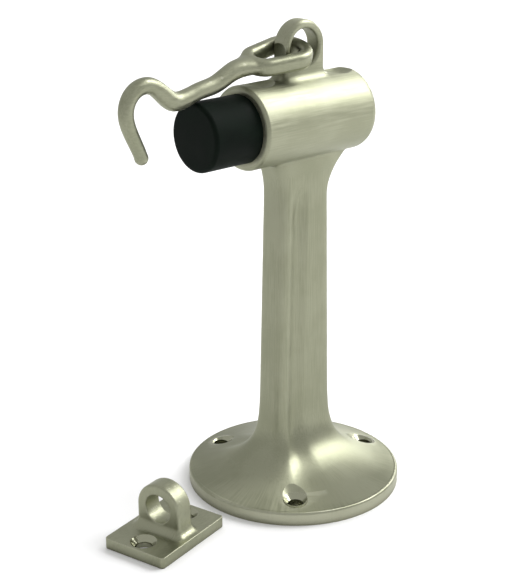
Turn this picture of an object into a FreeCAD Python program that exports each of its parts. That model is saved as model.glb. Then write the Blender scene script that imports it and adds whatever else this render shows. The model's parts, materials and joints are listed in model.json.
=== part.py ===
import FreeCAD, Part
import math
import os

import Sketcher
from FreeCAD import Placement, Rotation, Vector

# Floor door holder. Millimetres, +Z up, origin at the centre of the base's underside,
# on the floor. The bumper points along -Y and the bore of the lug runs along X.

DIMENSIONS = {
    # base flange and its screw holes
    "base_radius": 35.0,
    "rim_height": 4.5,
    "rim_round": 0.8,
    "rim_step": 0.3,
    "flare_height": 47.0,
    "flare_power": 8.0,
    "screw_from_rim": 6.5,
    "screw_count": 3,
    "screw_first_angle": 48.5,
    "screw_clear_radius": 2.4,
    "screw_sink_radius": 4.1,
    "screw_sink_rise": 0.35,
    "core_wall": 12.0,
    "core_depth": 3.0,
    # column, half sizes at its foot and at its neck
    "column_foot_half_width": 6.3,
    "column_neck_half_width": 5.8,
    "column_foot_half_depth": 12.0,
    "column_neck_half_depth": 9.6,
    "column_power": 5.2,
    "flute_depth": 1.4,
    "flute_below_head": 6.0,
    "flute_runout": 8.0,
    "bead_width": 2.4,
    "flute_width": 8.0,
    "neck_flare_height": 14.0,
    "neck_flare_front": 3.5,
    "neck_flare_front_power": 2.5,
    "neck_flare_rear": 9.5,
    "neck_flare_rear_power": 2.0,
    "neck_fillet": 1.5,
    # barrel head
    "head_axis_height": 122.85,
    "head_wall": 2.41,
    "head_front": 22.85,
    "head_rear": 23.64,
    "head_rear_round": 3.0,
    "head_lip_round": 1.2,
    # bumper in the head's blind bore
    "bumper_radius": 10.46,
    "bumper_reach": 17.6,
    "bumper_seat_depth": 13.0,
    "bumper_gap": 0.05,
    "bumper_nose_round": 1.2,
    "bumper_tail_chamfer": 0.8,
    # lug on the head
    "lug_width": 5.83,
    "lug_wall": 2.66,
    "lug_centre_behind": 0.88,
    "lug_bore_above_head": 3.4,
    "lug_edge_round": 1.3,
    "lug_bore_round": 1.0,
    "lug_foot_fillet": 3.0,
    "scoop_radius": 9.0,
    "scoop_depth": 1.8,
    "scoop_offset": 16.3,
    # hook: closed ring in the lug's bore
    "ring_bar_width": 4.2,
    "ring_bar_height": 5.4,
    "ring_bar_round": 1.9,
    "ring_tilt": 16.0,
    "ring_pitch": 6.0,
    "ring_inner_length": 16.0,
    "ring_side_gap": 0.35,
    "ring_front_narrowing": 1.4,
    "link_slack": 1.25,
    "link_gap": 0.5,
    "link_seat_angle": 50.0,
    # hook: shank and curl
    "neck_half_width": 5.2,
    "neck_radius": 2.6,
    "neck_share": 0.16,
    "shank_radius": 2.8,
    "waist_radius": 2.5,
    "elbow_radius": 2.9,
    "crown_radius": 2.5,
    "curl_radius": 2.3,
    "tip_radius": 2.0,
    "tip_swell": 0.1,
    "rest_gap": 0.2,
    # strike
    "strike_length": 31.2,
    "strike_width": 22.6,
    "strike_thickness": 3.6,
    "strike_corner_round": 1.2,
    "strike_lug_wall": 3.3,
    "strike_lug_width": 6.6,
    "strike_lug_round": 0.8,
    "strike_foot_fillet": 3.0,
    "strike_bore_radius": 4.7,
    "strike_bore_height": 11.1,
    "strike_screw_spacing": 21.0,
    "strike_yaw": 104.3,
    "strike_place_x": 4.1,
    "strike_place_y": -58.0,
}

# The hook's bar in its upright plane. Shank points are forward of and above the hinge line;
# curl points are forward of and above the top edge of the bumper's face. Its radii are given
# at shares of its length.
SHANK_ROUTE = [(19.8, -2.0), (23.0, -2.5), (26.5, -3.1)]
CURL_ROUTE = [
    (-8.0, 4.0),
    (-2.0, 2.9),
    (2.8, 1.6),
    (7.3, 1.3),
    (11.2, 4.0),
    (16.1, 7.0),
    (21.2, 5.7),
    (23.9, 0.7),
    (22.9, -4.6),
    (19.1, -13.2),
]
BAR_RADII = [(0, "neck_radius"), (0.1, "shank_radius"), (0.35, "waist_radius"), (0.46, "elbow_radius"),
             (0.58, "crown_radius"), (0.78, "curl_radius"), (1, "tip_radius")]
BAR_STATIONS = 48
SECTION_POINTS = 16

# The column's levels: shares of the flare, shares of the plain shaft, and rises above the neck.
FLARE_LEVELS = (0, 0.03, 0.07, 0.13, 0.22, 0.34, 0.5, 0.72, 1.0)
SHAFT_LEVELS = (0.35, 0.7)
NECK_LEVELS = (-15, -10, -6, -2.5, 1, 4)
OUTLINE_POINTS = 96
# Share of the flare over which the flutes deepen.
FLUTE_FULL_AT = 0.12

TOLERANCE = 1e-3

document = FreeCAD.newDocument("floor_door_holder")
sheet = document.addObject("Spreadsheet::Sheet", "dimensions")
for row, (name, value) in enumerate(DIMENSIONS.items(), start=1):
    sheet.set(f"A{row}", name)
    sheet.set(f"B{row}", str(value))
    sheet.setAlias(f"B{row}", name)
document.recompute()


def size(name):
    """A dimension as the sheet holds it."""
    return float(sheet.get(name))


def near(value, target):
    return abs(value - target) < TOLERANCE


def limited(value):
    """The value kept between nought and one."""
    return min(1.0, max(0.0, value))


def add(kind, name, **expressions):
    """A Part object whose sizes are bound to the sheet."""
    thing = document.addObject(kind, name)
    for property_name, expression in expressions.items():
        thing.setExpression(property_name, expression)
    return thing


def add_shape(name, shape, placement=None):
    """A Part::Feature for a form that no primitive gives."""
    thing = document.addObject("Part::Feature", name)
    thing.Shape = shape
    thing.Placement = placement or Placement()
    return thing


def pick_edges(shape, accept):
    """Numbers of the edges that the test accepts, counted from one."""
    return [number for number, edge in enumerate(shape.Edges, start=1) if accept(edge)]


def round_edges(name, base, accept, radius):
    """A Part::Fillet of one radius on the accepted edges of an object."""
    fillet = document.addObject("Part::Fillet", name)
    fillet.Base = base
    fillet.Edges = [(number, radius, radius) for number in pick_edges(base.Shape, accept)]
    document.recompute()
    return fillet


def new_body(name):
    body = document.addObject("PartDesign::Body", name)
    body.Label = name
    return body


def sketch_on(body, name, role):
    """A sketch on one of the body's own origin planes."""
    plane = next(item for item in body.Origin.OriginFeatures if item.Role == role)
    sketch = body.newObject("Sketcher::SketchObject", name)
    sketch.AttachmentSupport = [(plane, "")]
    sketch.MapMode = "FlatFace"
    return sketch


def constrain(sketch, kind, *arguments, expression=None):
    """Add a constraint, bound to the sheet when an expression is given."""
    index = sketch.addConstraint(Sketcher.Constraint(kind, *arguments))
    if expression:
        sketch.setExpression(f"Constraints[{index}]", expression)


def draw_circle(sketch, centre, radius, radius_from, x_from=None, y_from=None):
    """A circle bound to the sheet; a coordinate with no expression lies on its axis."""
    circle = sketch.addGeometry(Part.Circle(centre, Vector(0, 0, 1), radius), False)
    constrain(sketch, "Radius", circle, radius, expression=radius_from)
    if x_from:
        constrain(sketch, "DistanceX", -1, 1, circle, 3, centre.x, expression=x_from)
    else:
        constrain(sketch, "PointOnObject", circle, 3, -2)
    if y_from:
        constrain(sketch, "DistanceY", -1, 1, circle, 3, centre.y, expression=y_from)
    else:
        constrain(sketch, "PointOnObject", circle, 3, -1)


def dress(body, kind, name, base, accept, expression):
    """A PartDesign fillet or chamfer on the accepted edges of the last feature."""
    feature = body.newObject(f"PartDesign::{kind}", name)
    numbers = pick_edges(base.Shape, accept)
    feature.Base = (base, [f"Edge{number}" for number in numbers])
    feature.setExpression("Radius" if kind == "Fillet" else "Size", expression)
    document.recompute()
    return feature


# ---- places that the pieces share


def head_radius():
    """The barrel's radius: its wall round the bumper's bore."""
    return size("bumper_radius") + size("head_wall")


def head_top():
    return size("head_axis_height") + head_radius()


def column_top():
    return size("head_axis_height") - head_radius()


def cone_edge():
    """Radius at which the flange's top face starts, just inside its rounded rim."""
    return size("base_radius") - size("rim_round") - size("rim_step")


def screw_circle_radius():
    return size("base_radius") - size("screw_from_rim")


def link_reach():
    """How far the ring's rounded bar reaches from its own centre line."""
    corner = size("ring_bar_round")
    return corner + math.hypot(size("ring_bar_width") / 2 - corner, size("ring_bar_height") / 2 - corner)


def link_wander():
    """How far the bar's centre strays from the hinge line across the lug: its tilt and its bow."""
    half = size("lug_width") / 2
    rise = half * math.sin(math.radians(size("ring_tilt")))
    middle = ring_inner_radius() + size("ring_bar_width") / 2
    bow = middle - math.sqrt(middle ** 2 - half ** 2)
    return math.hypot(rise, bow)


def ring_inner_radius():
    """Half width of the ring's opening: it clears the lug's sides although the ring is tilted."""
    tilt = math.radians(size("ring_tilt"))
    corner = size("ring_bar_round")
    rise = (size("ring_bar_height") / 2 - corner) * math.sin(tilt)
    clear = size("lug_width") / 2 + size("ring_side_gap")
    return (clear + corner + rise) / math.cos(tilt) - corner


def lug_bore_radius():
    """Room for the bar, its stray, its slack and a running gap."""
    return link_reach() + link_wander() + size("link_slack") + size("link_gap")


def lug_bore_centre():
    height = head_top() + size("lug_bore_above_head") + lug_bore_radius()
    return Vector(0, size("lug_centre_behind"), height)


def hinge_line():
    """The hook's hinge line: the ring's rear bar, hanging low in the bore."""
    angle = math.radians(size("link_seat_angle"))
    slack = size("link_slack")
    return lug_bore_centre() + Vector(0, slack * math.cos(angle), -slack * math.sin(angle))


def bumper_edge():
    """Top edge of the bumper's face, where the hook rests."""
    front = -(size("head_front") + size("bumper_reach"))
    return Vector(0, front, size("head_axis_height") + size("bumper_radius"))


# ---- post


def column_outline(height):
    """One level of the column: its squared, fluted outline, spread towards the flange's circle."""
    along = (height - size("rim_height")) / (column_top() - size("rim_height"))
    grown = limited((height - size("rim_height")) / size("flare_height"))
    spread = (1 - grown) ** size("flare_power")

    def half(direction):
        foot = size(f"column_foot_half_{direction}")
        return foot + (size(f"column_neck_half_{direction}") - foot) * along

    half_width = half("width")
    half_depth = half("depth")
    near_head = max(0.0, 1 - (column_top() + size("neck_fillet") - height) / size("neck_flare_height"))
    front = half_depth + size("neck_flare_front") * near_head ** size("neck_flare_front_power")
    rear = half_depth + size("neck_flare_rear") * near_head ** size("neck_flare_rear_power")
    below_head = limited((column_top() - size("flute_below_head") - height) / size("flute_runout"))
    flute = size("flute_depth") * (1 + spread) * below_head * limited(grown / FLUTE_FULL_AT)
    flute_middle = size("bead_width") + size("flute_width") / 2 - half_depth
    power = size("column_power")

    points = []
    for step in range(OUTLINE_POINTS):
        angle = 2 * math.pi * step / OUTLINE_POINTS
        across = math.cos(angle)
        deep = math.sin(angle)
        reach = (abs(across) ** power + abs(deep) ** power) ** (-1 / power)
        squared = Vector(half_width * across, (rear if deep > 0 else front) * deep, 0) * reach
        circle = Vector(across, deep, 0) * cone_edge()
        off_middle = 2 * (squared.y - flute_middle) / size("flute_width")
        hollow = flute * max(0.0, 1 - off_middle ** 2) ** 2
        inwards = Vector(-math.copysign(hollow, across), 0, height)
        points.append(squared + (circle - squared) * spread + inwards)
    curve = Part.BSplineCurve()
    curve.interpolate(points, PeriodicFlag=True)
    return Part.Wire([curve.toShape()])


def column_shape():
    """The column with its trumpet foot, lofted through its levels."""
    levels = [size("rim_height") + size("flare_height") * share for share in FLARE_LEVELS]
    shaft_foot = levels[-1]
    shaft = column_top() - size("neck_flare_height") - shaft_foot
    levels += [shaft_foot + shaft * share for share in SHAFT_LEVELS]
    levels += [column_top() + rise for rise in NECK_LEVELS]
    return Part.makeLoft([column_outline(level) for level in levels], True, False)


def lug_bore_rim(edge):
    """True on the two rims of the lug's bore."""
    box = edge.BoundBox
    at_side = near(box.XLength, 0) and near(abs(box.XMin), size("lug_width") / 2)
    return at_side and near(box.ZMax, lug_bore_centre().z + lug_bore_radius())


def lug_shape():
    """Upright lug: a round eye, its bore rounded at both rims, on a root that runs into the barrel."""
    centre = lug_bore_centre()
    outer = lug_bore_radius() + size("lug_wall")
    width = size("lug_width")
    root = size("head_axis_height")
    left = Vector(-width / 2, centre.y - outer, root)
    right = Vector(-width / 2, centre.y + outer, root)
    rise = Vector(0, 0, centre.z - root)
    crown = Part.Arc(left + rise, Vector(-width / 2, centre.y, centre.z + outer), right + rise)
    edges = [
        Part.makeLine(right, left),
        Part.makeLine(left, left + rise),
        crown.toShape(),
        Part.makeLine(right + rise, right),
    ]
    slab = Part.Face(Part.Wire(edges)).extrude(Vector(width, 0, 0))
    rims = []
    for edge in slab.Edges:
        box = edge.BoundBox
        if near(box.XLength, 0) and box.ZMax > root + TOLERANCE:
            rims.append(edge)
    slab = slab.makeFillet(size("lug_edge_round"), rims)
    start = centre - Vector(width, 0, 0)
    bored = slab.cut(Part.makeCylinder(lug_bore_radius(), 2 * width, start, Vector(1, 0, 0)))
    return bored.makeFillet(size("lug_bore_round"), [edge for edge in bored.Edges if lug_bore_rim(edge)])


def neck_edge(edge):
    """True on the line where the column runs into the barrel."""
    box = edge.BoundBox
    below = column_top() - 1 < box.ZMin and box.ZMax < size("head_axis_height")
    narrow = box.XLength < 4 * size("column_neck_half_width")
    return below and narrow and -size("head_front") < box.YMin and box.YMax < size("head_rear") - 1


def lug_foot_edge(edge):
    """True on the lines where the lug runs into the barrel."""
    box = edge.BoundBox
    half = size("lug_width") / 2
    low = size("head_axis_height") + math.sqrt(head_radius() ** 2 - half ** 2)
    at_top = box.ZMin > low - TOLERANCE and box.ZMax < head_top() + TOLERANCE
    return at_top and max(abs(box.XMin), abs(box.XMax)) < half + TOLERANCE


def along_y(start_y):
    """Placement of a cylinder on the barrel's axis that points to +Y."""
    return Placement(Vector(0, start_y, size("head_axis_height")), Rotation(Vector(1, 0, 0), -90))


def flange_height(radius):
    """Height of the flange's top face at a distance from the post's axis."""
    edge = cone_edge()
    core = (size("column_foot_half_width") + size("column_foot_half_depth")) / 2
    share = ((radius - core) / (edge - core)) ** (1 / size("flare_power"))
    return size("rim_height") + size("flare_height") * (1 - share)


def screw_holes():
    """Countersunk screw holes, evenly spaced on their circle."""
    holes = []
    deep = size("screw_sink_radius") - size("screw_clear_radius")
    top = flange_height(screw_circle_radius())
    for number in range(int(size("screw_count"))):
        turn = math.radians(size("screw_first_angle") + 360 * number / size("screw_count"))
        place = Vector(math.sin(turn), -math.cos(turn), 0) * screw_circle_radius()
        shank = add("Part::Cylinder", f"screw_shank_{number + 1}", Radius="dimensions.screw_clear_radius",
                    Height="dimensions.rim_height * 3")
        shank.Placement.Base = place - Vector(0, 0, 1)
        sink = add("Part::Cone", f"screw_sink_{number + 1}", Radius1="dimensions.screw_clear_radius",
                   Radius2="dimensions.screw_sink_radius * 3 - dimensions.screw_clear_radius * 2",
                   Height="(dimensions.screw_sink_radius - dimensions.screw_clear_radius) * 3")
        sink.Placement.Base = place + Vector(0, 0, top - deep + size("screw_sink_rise"))
        holes += [shank, sink]
    return holes


def head_scoops():
    """Dished hollows in the barrel's top, ahead of and behind the lug, that clear the ring."""
    scoops = []
    for name, way in (("front_scoop", -1), ("rear_scoop", 1)):
        scoop = add("Part::Sphere", name, Radius="dimensions.scoop_radius")
        height = head_top() - size("scoop_depth") + size("scoop_radius")
        scoop.Placement.Base = Vector(0, size("lug_centre_behind") + way * size("scoop_offset"), height)
        scoops.append(scoop)
    return scoops


def post_hollows():
    """Everything that is cut from the casting: the bumper's bore, cored base, scoops and screw holes."""
    bumper_bore = add("Part::Cylinder", "bumper_bore", Radius="dimensions.bumper_radius",
                      Height="dimensions.bumper_seat_depth + 1")
    bumper_bore.Placement = along_y(-size("head_front") - 1)
    core = add("Part::Cone", "base_core", Radius1="dimensions.base_radius - dimensions.core_wall",
               Radius2="dimensions.base_radius - dimensions.core_wall - dimensions.core_depth",
               Height="dimensions.core_depth")
    return [bumper_bore, core] + head_scoops() + screw_holes()


def make_post():
    """One casting: flange, column, barrel head and lug, then its bores and screw holes."""
    flange = add("Part::Cylinder", "flange", Radius="dimensions.base_radius",
                 Height="dimensions.rim_height")
    barrel = add("Part::Cylinder", "barrel", Radius="dimensions.bumper_radius + dimensions.head_wall",
                 Height="dimensions.head_front + dimensions.head_rear")
    barrel.Placement = along_y(-size("head_front"))
    document.recompute()
    flange = round_edges("flange_rim", flange, lambda edge: near(edge.BoundBox.ZMin, size("rim_height")),
                         size("rim_round"))
    barrel = round_edges("barrel_rear", barrel, lambda edge: near(edge.BoundBox.YMin, size("head_rear")),
                         size("head_rear_round"))
    barrel = round_edges("barrel_front", barrel, lambda edge: near(edge.BoundBox.YMax, -size("head_front")),
                         size("head_lip_round"))

    stem = document.addObject("Part::MultiFuse", "stem")
    stem.Shapes = [flange, add_shape("column", column_shape()), barrel]
    document.recompute()
    stem = round_edges("neck_blend", stem, neck_edge, size("neck_fillet"))

    casting = document.addObject("Part::Fuse", "casting")
    casting.Base = stem
    casting.Tool = add_shape("lug", lug_shape())
    document.recompute()
    casting = round_edges("lug_blend", casting, lug_foot_edge, size("lug_foot_fillet"))

    hollows = document.addObject("Part::MultiFuse", "hollows")
    hollows.Shapes = post_hollows()
    post = document.addObject("Part::Cut", "post")
    post.Base = casting
    post.Tool = hollows
    document.recompute()
    return post


# ---- bumper


def make_bumper():
    """Rubber plug: a stem that fills the bore and a plain nose with a rounded rim."""
    body = new_body("bumper")
    sketch = sketch_on(body, "bumper_disc", "XZ_Plane")
    radius = size("bumper_radius") - size("bumper_gap")
    draw_circle(sketch, Vector(), radius, "dimensions.bumper_radius - dimensions.bumper_gap")
    plug = body.newObject("PartDesign::Pad", "bumper_plug")
    plug.Profile = sketch
    plug.setExpression("Length", "dimensions.bumper_reach + dimensions.bumper_seat_depth")
    document.recompute()
    length = size("bumper_reach") + size("bumper_seat_depth")
    nose = dress(body, "Fillet", "bumper_nose", plug, lambda edge: near(edge.BoundBox.YMax, -length),
                 "dimensions.bumper_nose_round")
    dress(body, "Chamfer", "bumper_tail", nose, lambda edge: near(edge.BoundBox.YMin, 0),
          "dimensions.bumper_tail_chamfer")
    body.setExpression("Placement.Base.y", "dimensions.bumper_seat_depth - dimensions.head_front")
    body.setExpression("Placement.Base.z", "dimensions.head_axis_height")
    return body


# ---- hook


def oval(rear_radius, front_radius, spacing, height):
    """Face bounded by two end arcs and their common tangents, lying along -Y."""
    lean = math.asin((rear_radius - front_radius) / spacing)
    side = Vector(math.cos(lean), -math.sin(lean), 0)
    mirrored = Vector(-side.x, side.y, 0)
    front_centre = Vector(0, -spacing, height)
    rear_centre = Vector(0, 0, height)
    front = Part.Arc(front_centre + side * front_radius, front_centre + Vector(0, -front_radius, 0),
                     front_centre + mirrored * front_radius)
    rear = Part.Arc(rear_centre + mirrored * rear_radius, rear_centre + Vector(0, rear_radius, 0),
                    rear_centre + side * rear_radius)
    edges = [
        front.toShape(),
        Part.makeLine(front_centre + mirrored * front_radius, rear_centre + mirrored * rear_radius),
        rear.toShape(),
        Part.makeLine(rear_centre + side * rear_radius, front_centre + side * front_radius),
    ]
    return Part.Face(Part.Wire(edges))


def ring_shape():
    """The closed ring, lying flat, its bar rounded all over."""
    bar = size("ring_bar_width")
    height = size("ring_bar_height")
    inner = ring_inner_radius()
    front = inner - size("ring_front_narrowing")
    spacing = size("ring_inner_length") - inner - front
    outline = oval(inner + bar, front + bar, spacing, -height / 2)
    opening = oval(inner, front, spacing, -height / 2)
    blank = outline.cut(opening).extrude(Vector(0, 0, height))
    rims = [edge for edge in blank.Edges if near(edge.BoundBox.ZLength, 0)]
    return blank.makeFillet(size("ring_bar_round"), rims).Solids[0]


def ring_placement():
    """The ring as it hangs: tilted and pitched about the middle of its rear bar."""
    to_rear_bar = Placement(Vector(0, -(ring_inner_radius() + size("ring_bar_width") / 2), 0), Rotation())
    tilt = Placement(Vector(), Rotation(Vector(0, 1, 0), size("ring_tilt")))
    pitch = Placement(Vector(), Rotation(Vector(1, 0, 0), size("ring_pitch")))
    return pitch * tilt * to_rear_bar


def bar_route():
    """Points of the bar's centre line and the radius at each, seen from the hinge line."""
    rest = bumper_edge() - hinge_line() + Vector(0, 0, size("rest_gap"))
    points = [Vector(0, -forward, rise) for forward, rise in SHANK_ROUTE]
    points += [rest + Vector(0, -forward, rise) for forward, rise in CURL_ROUTE]
    return points


def bar_section(curve, share):
    """The bar's outline at a share of its length: round, but wide and leaning where it meets the ring."""
    at = curve.parameterAtDistance(curve.length() * share)
    centre = curve.value(at)
    height = bar_radius(share)
    width = height
    lean = 0.0
    if share < size("neck_share"):
        spread = (1 - share / size("neck_share")) ** 2
        width += (size("neck_half_width") - height) * spread
        lean = math.radians(size("ring_tilt")) * spread
    forward = curve.tangent(at)[0]
    upright = Vector(1, 0, 0).cross(forward)
    side = Vector(1, 0, 0) * math.cos(lean) + upright * math.sin(lean)
    across = side.cross(forward)
    points = []
    for step in range(SECTION_POINTS):
        turn = 2 * math.pi * step / SECTION_POINTS
        points.append(centre + side * (width * math.cos(turn)) + across * (height * math.sin(turn)))
    outline = Part.BSplineCurve()
    outline.interpolate(points, PeriodicFlag=True)
    return Part.Wire([outline.toShape()])


def bar_shape():
    """The tapering bar of the shank and curl, with a ball end at its tip."""
    curve = Part.BSplineCurve()
    curve.interpolate(bar_route())
    wires = [bar_section(curve, station / BAR_STATIONS) for station in range(BAR_STATIONS + 1)]
    bar = Part.makeLoft(wires, True, False)
    tip = Part.makeSphere(size("tip_radius") + size("tip_swell"), curve.value(curve.LastParameter))
    return bar.fuse(tip).Solids[0]


def bar_radius(share):
    """Radius of the bar along its length, from the neck to the tip."""
    for (start, before), (end, after) in zip(BAR_RADII, BAR_RADII[1:]):
        if share <= end:
            part = (share - start) / (end - start)
            return size(before) + (size(after) - size(before)) * part
    return size("tip_radius")


def make_hook():
    """One casting: the ring closed through the lug, and the bar that ends in the curl."""
    hook = document.addObject("Part::MultiFuse", "hook")
    ring = add_shape("hook_ring", ring_shape(), ring_placement())
    hook.Shapes = [ring, add_shape("hook_bar", bar_shape())]
    hook.Placement.Base = hinge_line()
    document.recompute()
    return hook


# ---- strike


def strike_plate(body):
    """Base plate with rounded corners."""
    sketch = sketch_on(body, "strike_outline", "XY_Plane")
    length = size("strike_length")
    width = size("strike_width")
    corners = [Vector(-length, -width, 0) / 2, Vector(length, -width, 0) / 2,
               Vector(length, width, 0) / 2, Vector(-length, width, 0) / 2]
    for start, end in zip(corners, corners[1:] + corners[:1]):
        sketch.addGeometry(Part.LineSegment(start, end), False)
    for side in range(4):
        constrain(sketch, "Coincident", side, 2, (side + 1) % 4, 1)
        constrain(sketch, "Horizontal" if side % 2 == 0 else "Vertical", side)
    constrain(sketch, "Symmetric", 0, 1, 1, 2, -1, 1)
    constrain(sketch, "DistanceX", 0, 1, 0, 2, length, expression="dimensions.strike_length")
    constrain(sketch, "DistanceY", 1, 1, 1, 2, width, expression="dimensions.strike_width")
    plate = body.newObject("PartDesign::Pad", "strike_plate")
    plate.Profile = sketch
    plate.setExpression("Length", "dimensions.strike_thickness")
    document.recompute()
    dress(body, "Fillet", "strike_corners", plate,
          lambda edge: near(edge.BoundBox.ZLength, size("strike_thickness")),
          "dimensions.strike_corner_round")


def strike_lug(body):
    """Upright lug across the plate's middle, with a round top, and its bore."""
    outer = size("strike_bore_radius") + size("strike_lug_wall")
    rise = size("strike_bore_height")
    foot = size("strike_thickness") / 2
    sketch = sketch_on(body, "strike_lug_outline", "YZ_Plane")
    sketch.addGeometry(Part.LineSegment(Vector(-outer, rise, 0), Vector(-outer, foot, 0)), False)
    sketch.addGeometry(Part.LineSegment(Vector(-outer, foot, 0), Vector(outer, foot, 0)), False)
    sketch.addGeometry(Part.LineSegment(Vector(outer, foot, 0), Vector(outer, rise, 0)), False)
    round_top = Part.ArcOfCircle(Part.Circle(Vector(0, rise, 0), Vector(0, 0, 1), outer), 0, math.pi)
    sketch.addGeometry(round_top, False)
    constrain(sketch, "Coincident", 0, 2, 1, 1)
    constrain(sketch, "Coincident", 1, 2, 2, 1)
    constrain(sketch, "Tangent", 2, 2, 3, 1)
    constrain(sketch, "Tangent", 3, 2, 0, 1)
    constrain(sketch, "Horizontal", 1)
    constrain(sketch, "Vertical", 2)
    constrain(sketch, "PointOnObject", 3, 3, -2)
    constrain(sketch, "Radius", 3, outer,
              expression="dimensions.strike_bore_radius + dimensions.strike_lug_wall")
    constrain(sketch, "DistanceY", -1, 1, 3, 3, rise, expression="dimensions.strike_bore_height")
    constrain(sketch, "DistanceY", -1, 1, 1, 1, foot, expression="dimensions.strike_thickness / 2")
    lug = body.newObject("PartDesign::Pad", "strike_lug")
    lug.Profile = sketch
    lug.SideType = "Symmetric"
    lug.setExpression("Length", "dimensions.strike_lug_width")
    document.recompute()

    half = size("strike_lug_width") / 2

    def rim(edge):
        box = edge.BoundBox
        flat = near(box.XLength, 0) and near(abs(box.XMin), half)
        return flat and box.ZMax > size("strike_thickness") + TOLERANCE

    def foot_line(edge):
        box = edge.BoundBox
        at_top = near(box.ZMin, size("strike_thickness")) and near(box.ZMax, size("strike_thickness"))
        return at_top and max(abs(box.XMin), abs(box.XMax)) < half + TOLERANCE

    softened = dress(body, "Fillet", "strike_lug_rims", lug, rim, "dimensions.strike_lug_round")
    dress(body, "Fillet", "strike_lug_foot", softened, foot_line, "dimensions.strike_foot_fillet")
    bore_sketch = sketch_on(body, "strike_bore_circle", "YZ_Plane")
    draw_circle(bore_sketch, Vector(0, rise, 0), size("strike_bore_radius"),
                "dimensions.strike_bore_radius", y_from="dimensions.strike_bore_height")
    bore = body.newObject("PartDesign::Pocket", "strike_bore")
    bore.Profile = bore_sketch
    bore.Type = "ThroughAll"
    bore.SideType = "Symmetric"
    document.recompute()


def strike_screw_holes(body):
    """Two countersunk holes, one on each side of the lug."""
    sketch = sketch_on(body, "strike_screw_circles", "XY_Plane")
    offset = Vector(size("strike_screw_spacing") / 2, 0, 0)
    radius = size("screw_clear_radius")
    draw_circle(sketch, offset, radius, "dimensions.screw_clear_radius",
                x_from="dimensions.strike_screw_spacing / 2")
    draw_circle(sketch, -offset, radius, "dimensions.screw_clear_radius",
                x_from="-dimensions.strike_screw_spacing / 2")
    shanks = body.newObject("PartDesign::Pocket", "strike_screw_shanks")
    shanks.Profile = sketch
    shanks.Type = "ThroughAll"
    shanks.SideType = "Symmetric"
    document.recompute()
    deep = size("screw_sink_radius") - radius
    for number, place in ((1, offset), (2, -offset)):
        sink = body.newObject("PartDesign::SubtractiveCone", f"strike_sink_{number}")
        sink.setExpression("Radius1", "dimensions.screw_clear_radius")
        sink.setExpression("Radius2", "dimensions.screw_sink_radius")
        sink.setExpression("Height", "dimensions.screw_sink_radius - dimensions.screw_clear_radius")
        sink.Placement.Base = place + Vector(0, 0, size("strike_thickness") - deep)
        document.recompute()


def make_strike():
    """One casting: a screwed-down plate with an eye for the hook, lying beside the post."""
    body = new_body("strike")
    strike_plate(body)
    strike_lug(body)
    strike_screw_holes(body)
    body.setExpression("Placement.Base.x", "dimensions.strike_place_x")
    body.setExpression("Placement.Base.y", "dimensions.strike_place_y")
    body.setExpression("Placement.Rotation.Angle", "dimensions.strike_yaw")
    document.recompute()
    return body


# ---- build, check and write


def check(pieces):
    """Stop if any object failed or any piece has no valid solid."""
    for thing in document.Objects:
        if "Invalid" in thing.State or "Error" in thing.State:
            raise RuntimeError(f"{thing.Name} failed: {thing.State}")
    for piece in pieces:
        if piece.Shape.isNull() or not piece.Shape.isValid() or len(piece.Shape.Solids) != 1:
            raise RuntimeError(f"{piece.Label} is not one valid solid")


def write(pieces):
    os.makedirs("parts", exist_ok=True)
    for piece in pieces:
        piece.Shape.exportStep(f"parts/{piece.Label}.step")


pieces = [make_post(), make_bumper(), make_hook(), make_strike()]
document.recompute()
check(pieces)
write(pieces)
for piece in pieces:
    box = piece.Shape.BoundBox
    print(piece.Label, round(piece.Shape.Volume), "mm3", box)
print("hinge line", hinge_line(), "lug bore", lug_bore_centre(), lug_bore_radius())
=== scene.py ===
import json
import math

import bpy
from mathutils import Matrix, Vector


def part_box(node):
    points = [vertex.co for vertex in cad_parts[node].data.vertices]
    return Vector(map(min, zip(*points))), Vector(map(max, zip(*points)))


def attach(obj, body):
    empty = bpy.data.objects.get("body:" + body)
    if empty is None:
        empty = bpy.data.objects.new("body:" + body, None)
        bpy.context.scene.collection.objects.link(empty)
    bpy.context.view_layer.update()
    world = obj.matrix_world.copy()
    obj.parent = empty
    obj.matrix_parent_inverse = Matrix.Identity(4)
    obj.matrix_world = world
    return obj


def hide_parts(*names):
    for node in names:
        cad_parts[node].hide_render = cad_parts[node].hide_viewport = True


# Looks of the floor door holder: satin nickel castings and a black rubber bumper, standing on a
# pale floor in soft studio light. Metres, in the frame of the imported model.

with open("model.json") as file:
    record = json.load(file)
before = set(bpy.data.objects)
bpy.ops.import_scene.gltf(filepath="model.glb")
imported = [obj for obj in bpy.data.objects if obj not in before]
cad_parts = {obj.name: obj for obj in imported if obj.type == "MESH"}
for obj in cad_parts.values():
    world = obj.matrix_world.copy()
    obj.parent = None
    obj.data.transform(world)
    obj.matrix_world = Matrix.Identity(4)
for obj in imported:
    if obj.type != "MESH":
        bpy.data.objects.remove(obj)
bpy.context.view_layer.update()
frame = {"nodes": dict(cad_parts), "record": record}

MM = 0.001

# Camera: what it looks at, how far from it, from which side and height, in degrees, and its lens.
CAMERA_TARGET = Vector((-0.0069, -0.00773, 0.06524))
CAMERA_DISTANCE = 0.4419
CAMERA_AZIMUTH = 48.28
CAMERA_ELEVATION = 20.31
CAMERA_LENS = 84.23

# Countersunk holes, as the castings have them.
SINK_RADIUS = 4.1 * MM
SINK_EDGE = 0.15 * MM
FIRST_SCREW_ANGLE = 48.5

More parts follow.
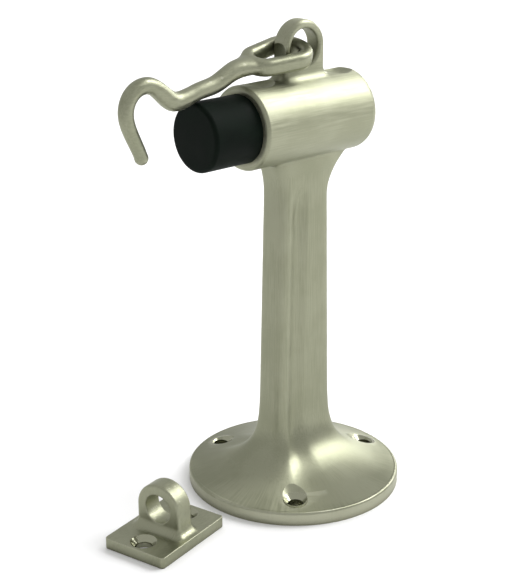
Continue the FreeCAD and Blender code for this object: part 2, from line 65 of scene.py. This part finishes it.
# Satin nickel plate, from the painted shade in its corners to its rubbed edges.
DARK_NICKEL = (0.250, 0.258, 0.178, 1)
LIGHT_NICKEL = (0.315, 0.322, 0.232, 1)
# Painted shade: a near-black nickel laid into corners and creases, where shade falls, and how far from a
# corner it reaches.
PAINTED_SHADE_NICKEL = (0.085, 0.082, 0.048, 1)
RUBBED_NICKEL = (0.52, 0.52, 0.41, 1)
MACHINED_NICKEL = (0.34, 0.345, 0.255, 1)
MACHINED_ROUGHNESS = 0.22
PAINTED_SHADE_REACH = 3.5 * MM
STROKE_DEPTH = 0.04 * MM
WAVE_DEPTH = 0.5 * MM
PIT_DEPTH = 0.15 * MM
# How much a brushed texture is squeezed along its strokes.
SQUEEZE = 0.03
BARREL_SQUEEZE = 0.035
# Heights over which the strokes change course: flange to column, and column to barrel.
COLUMN_STARTS = (8 * MM, 20 * MM)
BELOW_BARREL_AXIS = (16.85 * MM, 9.85 * MM)

# Moulded rubber, clean and dusty.
BLACK_RUBBER = (0.0015, 0.0040, 0.0022, 1)
DUSTY_RUBBER = (0.0038, 0.0080, 0.0050, 1)
RUBBER_GRAIN = 0.05 * MM

# The room.
FLOOR_HALF = 12.0
FLOOR_GREY = (0.90, 0.90, 0.90, 1)
ROOM_WHITE = (1, 1, 1, 1)
ROOM_STRENGTH = 0.74
LIT_HEIGHT = 0.10


def node(tree, kind, inputs=None, **settings):
    """A shader node with its settings made and its inputs linked or set."""
    made = tree.nodes.new(kind)
    for name, value in settings.items():
        setattr(made, name, value)
    for name, value in (inputs or {}).items():
        if isinstance(value, bpy.types.NodeSocket):
            tree.links.new(value, made.inputs[name])
        else:
            made.inputs[name].default_value = value
    return made


def maths(tree, operation, first, second):
    """Two numbers joined by one operation."""
    return node(tree, "ShaderNodeMath", {0: first, 1: second}, operation=operation).outputs[0]


def noise(tree, vector, scale, detail=3.0, roughness=0.55):
    """Cloudy noise from nought to one, so many cells to the metre."""
    made = node(tree, "ShaderNodeTexNoise", {"Vector": vector, "Scale": scale, "Detail": detail,
                                            "Roughness": roughness})
    return made.outputs["Fac"]


def stretched(tree, vector, scale):
    """The vector scaled along each axis, so that a texture on it runs in streaks."""
    made = node(tree, "ShaderNodeVectorMath", {0: vector, 1: scale}, operation="MULTIPLY")
    return made.outputs[0]


def between(tree, value, low, high, out_low=0.0, out_high=1.0):
    """The value moved smoothly from one range to another."""
    made = node(tree, "ShaderNodeMapRange", {"Value": value, "From Min": low, "From Max": high,
                                            "To Min": out_low, "To Max": out_high},
                interpolation_type="SMOOTHSTEP")
    return made.outputs["Result"]


def blended(tree, factor, first, second, kind="RGBA"):
    """A mix of two colours, two numbers or two vectors."""
    made = tree.nodes.new("ShaderNodeMix")
    made.data_type = kind
    sockets = [socket for socket in made.inputs if socket.enabled]
    for socket, value in zip(sockets, (factor, first, second)):
        if isinstance(value, bpy.types.NodeSocket):
            tree.links.new(value, socket)
        else:
            socket.default_value = value
    return next(socket for socket in made.outputs if socket.enabled)


def bumped(tree, strength, depth, relief, under=None):
    """A normal tilted by a relief, on top of another bump if one is given."""
    made = node(tree, "ShaderNodeBump", {"Strength": strength, "Distance": depth, "Height": relief,
                                        **(under or {})})
    return made.outputs[0]


def new_material(name):
    """A material, its node tree and its shader."""
    material = bpy.data.materials.new(name)
    material.use_nodes = True
    tree = material.node_tree
    return material, tree, tree.nodes["Principled BSDF"]


def place_of(tree):
    """Position in the model's frame."""
    return tree.nodes.new("ShaderNodeTexCoord").outputs["Object"]


def near_axes(tree, place, centres, radius):
    """One inside upright cylinders of a radius about the centres, nought outside."""
    flat = stretched(tree, place, (1, 1, 0))
    inside = 0.0
    for centre in centres:
        away = node(tree, "ShaderNodeVectorMath", {0: flat, 1: (centre.x, centre.y, 0)},
                    operation="DISTANCE").outputs["Value"]
        closeness = between(tree, away, radius, radius - SINK_EDGE)
        inside = maths(tree, "MAXIMUM", closeness, inside)
    return inside


# ---- brushing: where the strokes run on each casting


def barrel_part(tree, height):
    """One at the barrel and above, nought down the column, from how high the bumper sits."""
    lowest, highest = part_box("bumper")
    axis_height = (lowest.z + highest.z) / 2
    lower, upper = BELOW_BARREL_AXIS
    return between(tree, height, axis_height - lower, axis_height - upper)


def post_brushing(tree, place):
    """Strokes along the barrel, down the column and outwards over the flange."""
    parts = node(tree, "ShaderNodeSeparateXYZ", {"Vector": place})
    height = parts.outputs["Z"]
    along_barrel = stretched(tree, place, (1.0, BARREL_SQUEEZE, 1.0))
    down_column = stretched(tree, place, (1.0, 1.0, SQUEEZE))
    turn = maths(tree, "ARCTAN2", parts.outputs["Y"], parts.outputs["X"])
    length = node(tree, "ShaderNodeVectorMath", {0: stretched(tree, place, (1, 1, 0))},
                  operation="LENGTH").outputs["Value"]
    round_flange = maths(tree, "MULTIPLY", turn, SQUEEZE)
    over_flange = maths(tree, "MULTIPLY", length, SQUEEZE)
    outward = node(tree, "ShaderNodeCombineXYZ", {"X": round_flange, "Y": over_flange}).outputs[0]
    on_column = between(tree, height, *COLUMN_STARTS)
    on_barrel = barrel_part(tree, height)
    lower = blended(tree, on_column, outward, down_column, "VECTOR")
    return blended(tree, on_barrel, lower, along_barrel, "VECTOR")


def post_tangent(tree, place):
    """Direction across the strokes: round the barrel above, round the column below."""
    height = node(tree, "ShaderNodeSeparateXYZ", {"Vector": place}).outputs["Z"]
    on_barrel = barrel_part(tree, height)
    about_column = node(tree, "ShaderNodeTangent", direction_type="RADIAL", axis="Z").outputs[0]
    about_barrel = node(tree, "ShaderNodeTangent", direction_type="RADIAL", axis="Y").outputs[0]
    return blended(tree, on_barrel, about_column, about_barrel, "VECTOR")


def nickel(name, brush, cast, machined=None, anisotropy=0.0, tangent=None):
    """Satin nickel plate: brushed strokes, cast pits and waves, rubbed edges, and painted shade in corners
    and creases.
    """
    material, tree, shader = new_material(name)
    place = place_of(tree)
    strokes = noise(tree, brush(tree, place), 2600.0, 4.0, 0.6)
    long_strokes = noise(tree, brush(tree, place), 700.0, 3.0, 0.5)
    clouds = noise(tree, place, 55.0, 3.0, 0.5)
    pits = noise(tree, place, 900.0, 4.0, 0.65)

    tone = maths(tree, "ADD", maths(tree, "MULTIPLY", strokes, 0.45), maths(tree, "MULTIPLY", clouds, 0.55))
    metal = blended(tree, between(tree, tone, 0.40, 0.60), DARK_NICKEL, LIGHT_NICKEL)
    edge = node(tree, "ShaderNodeNewGeometry").outputs["Pointiness"]
    rubbed = between(tree, edge, 0.505, 0.56, 0.0, 0.45)
    metal = blended(tree, rubbed, metal, RUBBED_NICKEL)
    # Painted shade: ambient occlusion darkens the metal colour in corners, creases and between parts.
    shade_occlusion = node(tree, "ShaderNodeAmbientOcclusion", {"Distance": PAINTED_SHADE_REACH}, samples=6)
    painted_shade = between(tree, shade_occlusion.outputs["AO"], 0.80, 0.30, 0.0, 0.75)
    metal = blended(tree, painted_shade, metal, PAINTED_SHADE_NICKEL)

    rough = maths(tree, "ADD", between(tree, strokes, 0.3, 0.7, 0.36, 0.48),
                  between(tree, clouds, 0.3, 0.7, -0.02, 0.04))
    if machined:
        turned = machined(tree, place)
        rough = blended(tree, turned, rough, MACHINED_ROUGHNESS, "FLOAT")
        metal = blended(tree, turned, metal, MACHINED_NICKEL)

    grooves = maths(tree, "ADD", maths(tree, "MULTIPLY", strokes, 0.5),
                    maths(tree, "MULTIPLY", long_strokes, 0.5))
    brushed = bumped(tree, 0.50, STROKE_DEPTH, grooves)
    wavy = bumped(tree, 0.25, WAVE_DEPTH, clouds, {"Normal": brushed})
    pitted = bumped(tree, cast, PIT_DEPTH, pits, {"Normal": wavy})

    tree.links.new(metal, shader.inputs["Base Color"])
    tree.links.new(rough, shader.inputs["Roughness"])
    tree.links.new(pitted, shader.inputs["Normal"])
    shader.inputs["Metallic"].default_value = 1.0
    shader.inputs["Anisotropic"].default_value = anisotropy
    if tangent:
        tree.links.new(tangent(tree, place), shader.inputs["Tangent"])
    return material


def rubber():
    """Black moulded rubber: a faint grain and a little dust."""
    material, tree, shader = new_material("black_rubber")
    place = place_of(tree)
    clouds = noise(tree, place, 90.0, 4.0)
    grain = noise(tree, place, 2400.0, 3.0)
    colour = blended(tree, between(tree, clouds, 0.42, 0.72), BLACK_RUBBER, DUSTY_RUBBER)
    tree.links.new(colour, shader.inputs["Base Color"])
    tree.links.new(between(tree, clouds, 0.3, 0.7, 0.55, 0.68), shader.inputs["Roughness"])
    tree.links.new(bumped(tree, 0.3, RUBBER_GRAIN, grain), shader.inputs["Normal"])
    shader.inputs["Specular IOR Level"].default_value = 0.07
    return material


# ---- the castings


def dress_node(name, material):
    """Gives a CAD node its material."""
    mesh = frame["nodes"][name].data
    mesh.materials.clear()
    mesh.materials.append(material)


def cast_copy(name, voxel, smoothing, material):
    """A soft-edged casting made from a CAD node's solid, which it stands for."""
    source = frame["nodes"][name]
    piece = bpy.data.objects.new(f"{name}_casting", source.data.copy())
    bpy.context.scene.collection.objects.link(piece)
    remesh = piece.modifiers.new("skin", "REMESH")
    remesh.mode = "VOXEL"
    remesh.voxel_size = voxel
    remesh.use_smooth_shade = True
    soften = piece.modifiers.new("soften", "SMOOTH")
    soften.factor = 0.5
    soften.iterations = smoothing
    piece.data.materials.clear()
    piece.data.materials.append(material)
    return piece


def base_screw_places():
    """Centres of the flange's screw holes, from the pattern that the record states."""
    mounts = {mount["name"]: mount for mount in frame["record"]["mounts"]}
    radius = mounts["base_screws"]["dims"]["pcd_mm"] * MM / 2
    count = mounts["base_screws"]["dims"]["count"]
    places = []
    for number in range(count):
        turn = math.radians(FIRST_SCREW_ANGLE + 360 * number / count)
        places.append(Vector((math.sin(turn), -math.cos(turn), 0)) * radius)
    return places


def strike_screw_places():
    """Centres of the strike's screw holes, which lie along the axis of its eye."""
    mounts = {mount["name"]: mount for mount in frame["record"]["mounts"]}
    centre = Vector(mounts["strike_screws"]["pos_m"])
    offset = Vector(mounts["strike_eye"]["axis"]) * (mounts["strike_screws"]["dims"]["pcd_mm"] * MM / 2)
    return [centre + offset, centre - offset]


def make_post():
    """The post stays the CAD node, with strokes that follow its parts."""
    def machined(tree, place):
        return near_axes(tree, place, base_screw_places(), SINK_RADIUS)

    dress_node("post", nickel("post_nickel", post_brushing, 0.12, machined, 0.7, post_tangent))


def make_hook():
    """The hook, brushed along its shank."""
    def brushing(tree, place):
        return stretched(tree, place, (1.0, 0.08, 0.6))

    piece = cast_copy("hook", 0.3 * MM, 8, nickel("hook_nickel", brushing, 0.35))
    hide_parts("hook")
    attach(piece, "hook_body")


def make_strike():
    """The strike, with strokes along its plate and up its eye."""
    def brushing(tree, place):
        return stretched(tree, place, (1.0, 0.25, 0.25))

    def machined(tree, place):
        return near_axes(tree, place, strike_screw_places(), SINK_RADIUS)

    piece = cast_copy("strike", 0.2 * MM, 4, nickel("strike_nickel", brushing, 0.3, machined))
    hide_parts("strike")
    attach(piece, "strike_body")


# ---- the room


def soft_box(name, at, towards, width, height, power, mirrored=True):
    """A rectangular area light. One that isn't mirrored leaves no highlight on the metal."""
    light = bpy.data.lights.new(name, "AREA")
    light.shape = "RECTANGLE"
    light.size = width
    light.size_y = height
    light.energy = power
    lamp = bpy.data.objects.new(name, light)
    lamp.location = at
    lamp.rotation_euler = (Vector(towards) - Vector(at)).to_track_quat("-Z", "Y").to_euler()
    lamp.visible_camera = False
    lamp.visible_glossy = mirrored
    bpy.context.scene.collection.objects.link(lamp)


def make_floor():
    """A wide, pale, matt floor."""
    half = FLOOR_HALF
    corners = [(-half, -half, 0), (half, -half, 0), (half, half, 0), (-half, half, 0)]
    mesh = bpy.data.meshes.new("floor")
    mesh.from_pydata(corners, [], [(0, 1, 2, 3)])
    floor = bpy.data.objects.new("floor", mesh)
    bpy.context.scene.collection.objects.link(floor)
    material, _, shader = new_material("pale_floor")
    shader.inputs["Base Color"].default_value = FLOOR_GREY
    shader.inputs["Roughness"].default_value = 0.7
    shader.inputs["Specular IOR Level"].default_value = 0.2
    mesh.materials.append(material)


def make_light():
    """An even white room, a soft key behind and above the object, and low sheets of light at the back."""
    scene = bpy.context.scene
    scene.world = bpy.data.worlds.new("room")
    scene.world.use_nodes = True
    backdrop = scene.world.node_tree.nodes["Background"]
    backdrop.inputs["Color"].default_value = ROOM_WHITE
    backdrop.inputs["Strength"].default_value = ROOM_STRENGTH
    scene.view_settings.view_transform = "Standard"
    head = Vector((0, 0, LIT_HEIGHT))
    soft_box("key", at=(0.30, 0.74, 0.78), towards=head, width=0.50, height=0.60, power=8.5)
    soft_box("far_wash", at=(-0.9, 1.3, 1.3), towards=(-0.9, 1.3, 0), width=1.6, height=1.6, power=18,
             mirrored=False)
    soft_box("back_sheet", at=(0.10, 1.50, 0.42), towards=head, width=0.8, height=0.4, power=2.5)
    soft_box("back_strip", at=(-0.40, 1.30, 0.42), towards=head, width=0.40, height=0.20, power=2.0)


def make_camera():
    """The camera, aimed at its target from its side and height."""
    azimuth = math.radians(CAMERA_AZIMUTH)
    elevation = math.radians(CAMERA_ELEVATION)
    back = Vector((math.sin(azimuth) * math.cos(elevation), -math.cos(azimuth) * math.cos(elevation),
                   math.sin(elevation)))
    data = bpy.data.cameras.new("camera")
    data.lens = CAMERA_LENS
    data.clip_start = 0.01
    camera = bpy.data.objects.new("camera", data)
    camera.location = CAMERA_TARGET + back * CAMERA_DISTANCE
    camera.rotation_euler = (-back).to_track_quat("-Z", "Y").to_euler()
    bpy.context.scene.collection.objects.link(camera)
    bpy.context.scene.camera = camera


make_post()
dress_node("bumper", rubber())
make_hook()
make_strike()
make_floor()
make_light()
make_camera()
